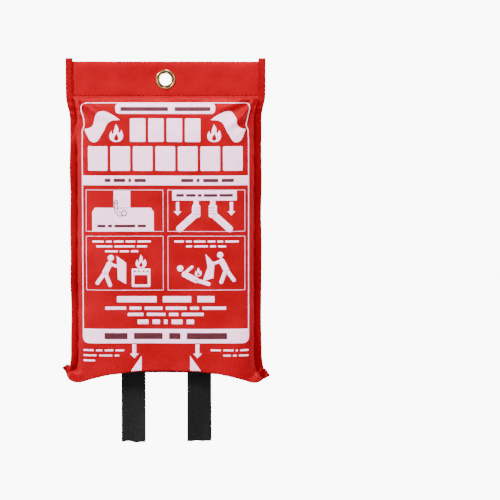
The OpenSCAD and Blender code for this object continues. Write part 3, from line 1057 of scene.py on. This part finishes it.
def words(x0, x1, z0, z1, letters):
    """A line of plain bars where words stand: each as long as its number of letters."""
    total = sum(letters) + 1.1 * (len(letters) - 1)
    unit, x = (x1 - x0) / total, x0
    bars = []
    for count in letters:
        bars.append(block(x, x + unit * count, z0, z1, 0.5))
        x += unit * (count + 1.1)
    return bars


def row_of_blocks(x0, x1, z0, z1, count):
    gap = 3.0
    width = (x1 - x0 - gap * (count - 1)) / count
    return [block(x0 + i * (width + gap), x0 + i * (width + gap) + width, z0, z1, 1.2)
            for i in range(count)]


def down_arrow(x, top, bottom, shaft, head):
    return [block(x - shaft / 2, x + shaft / 2, bottom + head * 0.5, top, 0),
            outline([(x - head / 2, bottom + head * 0.55), (x + head / 2, bottom + head * 0.55),
                     (x, bottom)])]


def flame(x, z, width, height):
    """A plain three-tongued flame on a base line, with a drop left open in it."""
    def ring(points):
        return [(x + px * width, z + pz * height, *rest) for px, pz, *rest in points]
    body = [(0.0, 0.0, 1), (-0.36, 0.08, 1), (-0.50, 0.34, 1), (-0.36, 0.64), (-0.26, 0.46, 1),
            (-0.16, 0.68, 1),
            (-0.02, 1.0), (0.16, 0.76, 1), (0.22, 0.52, 1), (0.38, 0.68), (0.50, 0.34, 1), (0.36, 0.08, 1)]
    drop = [(0.0, 0.06, 1), (-0.16, 0.16, 1), (-0.12, 0.30, 1), (0.02, 0.46), (0.14, 0.28, 1),
            (0.14, 0.14, 1)]
    return outline(ring(body), ring(drop))


def waving_sheet(mirror):
    points = [(-83, -50), (-77, -48, 1), (-73, -38, 1), (-66, -32, 1), (-55, -35, 1), (-46.5, -40.5),
              (-57, -42.5, 1), (-64, -54, 1), (-73, -63.5, 1)]
    return outline(mirrored(points) if mirror else points)


def head_part():
    """The tab, the two flames between waving sheets, and two rows of plain blocks."""
    shapes = [block(-51, 51, -34.5, -23.6, 4)]
    for side in (LEFT, RIGHT):
        shapes += [flame(side * 50, -63, 14, 18), waving_sheet(side == RIGHT)]
    shapes += row_of_blocks(-36, 36, -63, -39, 4)
    shapes += row_of_blocks(-79, 79, -92.5, -67.5, 7)
    shapes.append(block(-85, 85, -107.5, -97.5, 0))
    return shapes


def hanging_panel():
    """Where it hangs: a wall strip with a pouch on it."""
    return [block(-53, -36, -132, -113, 0), outline([(-75, -155), (-75, -135), (-72, -130.5), (-15, -130.5),
                                                     (-12, -135), (-12, -155)])]


def pulling_panel():
    """Two hands that pull the tapes down."""
    middle = 40
    shapes = [block(7, 73, -123, -112.5, 0)]
    for side in (LEFT, RIGHT):
        tape = middle + side * 8.5
        shapes.append(block(tape - 2.6, tape + 2.6, -128, -122.5, 0))
        shapes.append(block(tape - 4.2, tape + 4.2, -140.5, -127, 2.4))
        shapes.append(limb(tape + side * 1.5, -138, tape + side * 17, -152, 7.0))
        shapes += down_arrow(middle + side * 27.5, -124.5, -138.5, 3.2, 8)
    return shapes


def standing_figure(x, z, way):
    """A plain figure that leans one way with its arms out."""
    shapes = [disc(x, z, 3.2), limb(x - way * 1.5, z - 6.5, x - way * 6.0, z - 15, 6.0)]
    shapes.append(limb(x - way * 6.0, z - 15, x - way * 1.0, z - 28, 4.0))
    shapes.append(limb(x - way * 6.5, z - 15.5, x - way * 14, z - 26, 4.0))
    shapes.append(limb(x - way * 0.5, z - 6.5, x + way * 7.5, z - 9.0, 3.0))
    return shapes


def covering_panel():
    """A figure that holds a sheet up to a burning stove."""
    shapes = words(-75, -15, -166.2, -164.2, (6, 3, 5, 5, 7))
    shapes += words(-71, -19, -171.2, -169.2, (8, 10, 5))
    shapes += words(-62, -28, -176.2, -174.2, (7, 5, 4))
    shapes += standing_figure(-56, -182, 1)
    shapes.append(outline([(-50, -180), (-40.5, -187), (-40.5, -209), (-49, -204)]))
    shapes.append(flame(-25.2, -192.5, 11, 14))
    shapes.append(keyline(-34.6, -15.7, -212, -193, 0.6, 2.6))
    shapes.append(block(-34, -16.3, -199.5, -194.5, 0))
    return shapes


def smothering_panel():
    """A figure that lays a sheet over another on the ground."""
    shapes = words(9, 75, -166.2, -164.2, (5, 3, 6, 4, 3, 7))
    shapes += words(21, 62, -171.2, -169.2, (3, 7, 3, 4))
    shapes += standing_figure(56, -179, -1)
    shapes.append(outline([(41, -178), (50, -188), (49, -203), (38, -206), (43, -192)]))
    shapes += [disc(15, -193, 3.2), limb(19.5, -199, 31, -205, 6.0), limb(20, -197.5, 27, -191.5, 3.0)]
    shapes += [limb(31, -205, 44, -209, 4.0), flame(33.5, -201, 7, 9)]
    return shapes


def foot_part():
    """Lines of words, the lower band, two arrows and the pulling arms' lower ends."""
    shapes = words(-50, 50, -228, -221.5, (7, 5, 3))
    shapes += words(-62, 62, -235.6, -232.4, (7, 4, 6, 7, 3, 8))
    shapes += words(-39, 39, -242.0, -238.8, (5, 6, 3, 7))
    shapes += words(-29, 29, -250.5, -245.8, (3, 2, 1, 3, 2))
    shapes.append(block(-85, 85, -265, -255.5, 0))
    shapes.append(block(-85.4, 85.4, -270.4, -258.0, 10))
    shapes += words(-85, -43, -278.6, -276.8, (5, 3, 4, 4)) + words(-85, -48, -284.0, -282.2, (6, 6, 2))
    shapes += words(-85, -73, -289.4, -287.6, (5,))
    shapes += words(46, 85, -278.6, -276.8, (5, 5, 1, 4)) + words(59, 85, -284.0, -282.2, (4, 2, 5))
    for side in (LEFT, RIGHT):
        shapes += down_arrow(side * 32.5, -271.5, -286, 4, 9)
        wedge = [(25, -283.5), (25, -298.6), (36, -299.4)]
        shapes.append(outline(wedge if side == RIGHT else mirrored(wedge)))
    return shapes


def panel_frames():
    return [keyline(x0, x1, z0, z1, 0.4, 0.42) for x0, x1 in ((-81.5, -2.2), (2.2, 81.5))
            for z0, z1 in ((-155, -112), (-215.5, -159.5))]


def fine_words():
    """Small bars on the white bands, where the fine words stand."""
    shapes = words(-46, 46, -31.5, -27.5, (8, 6))
    shapes += words(-62, -20, -104, -100.6, (2, 4, 1, 4))
    shapes += words(16, 70, -104, -100.6, (4, 1, 5, 4))
    shapes += words(11, 69, -119, -116.2, (4, 5, 2, 7, 7))
    shapes += words(-70, -20, -150.5, -147.8, (4, 2, 10, 4))
    shapes += words(-63, 63, -266, -259.5, (4, 5, 2, 7))
    shapes += hook(-50.6, -124.5) + [block(-53, -36, -130.9, -130.4, 0)]
    shapes += [disc(x, -195.8, 0.9) for x in (-31.5, -27.5, -22.5, -18.5)]
    for side in (LEFT, RIGHT):
        hand = 40 + side * 8.5
        shapes += [block(hand - 1.2, hand + 4.2, z - 0.25, z + 0.25, 0) if side == LEFT else
                   block(hand - 4.2, hand + 1.2, z - 0.25, z + 0.25, 0) for z in (-130.5, -133.5, -136.5)]
    return shapes


def in_plane_drift(points):
    """How far sideways the print has moved where the cloth is creased at the shoulders."""
    x, z = points[:, 0], points[:, 2]
    near_side = smooth((np.abs(x) - 0.060) / 0.022)
    pulled = 0.0026 * bump_at(z - FOLD_Z + 0.009, 0.007) - 0.0022 * bump_at(z - FOLD_Z + 0.024, 0.009)
    wrinkled = 0.0005 * ripples(x * 0.4, z, 0.012, 91) * smooth((z - FOLD_Z + 0.050) / 0.02)
    return np.sign(x) * (pulled + wrinkled) * near_side


def print_on(name, shapes, material, lift):
    """Joins flat shapes, cuts them finely and lays them on the front cloth."""
    ink = join_pieces(name, [lay_down(shape) for shape in shapes])
    points = read_points(ink.data)
    low, high = points.min(axis=0), points.max(axis=0)
    pick(ink)
    bpy.ops.object.mode_set(mode="EDIT")
    for axis, direction in ((0, (1, 0, 0)), (2, (0, 0, 1))):
        for at in np.arange(low[axis] + PRINT_STEP / 2, high[axis], PRINT_STEP):
            bpy.ops.mesh.select_all(action="SELECT")
            place = [0, 0, 0]
            place[axis] = at
            bpy.ops.mesh.bisect(plane_co=place, plane_no=direction)
    bpy.ops.mesh.select_all(action="SELECT")
    bpy.ops.mesh.remove_doubles(threshold=1e-7)
    bpy.ops.object.mode_set(mode="OBJECT")
    points = read_points(ink.data)
    points[:, 0] += in_plane_drift(points)
    tree = surface_of(front_cloth)
    for point in points:
        hit = tree.ray_cast(Vector((point[0], -0.1, point[2])), Vector((0, 1, 0)))[0]
        point[1] = hit.y - lift
    ink.data.vertices.foreach_set("co", points.ravel())
    bpy.ops.object.shade_smooth()
    bpy.ops.object.select_all(action="DESELECT")
    paint(ink, material)
    apply_modifier(ink, "SOLIDIFY", thickness=0.00008, offset=0)
    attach(ink, "pouch")
    return ink


def surface_of(piece):
    return BVHTree.FromObject(piece, bpy.context.evaluated_depsgraph_get())


label_shapes = [keyline(-85.5, 85.5, -270.4, -23, 7, 0.9)]
label_shapes += head_part() + hanging_panel() + pulling_panel() + covering_panel() + smothering_panel()
label_shapes += foot_part() + panel_frames()
print_on("label_print", label_shapes, INK, INK_LIFT)
print_on("label_fine_print", fine_words(), FINE_INK, INK_LIFT * 2.2)
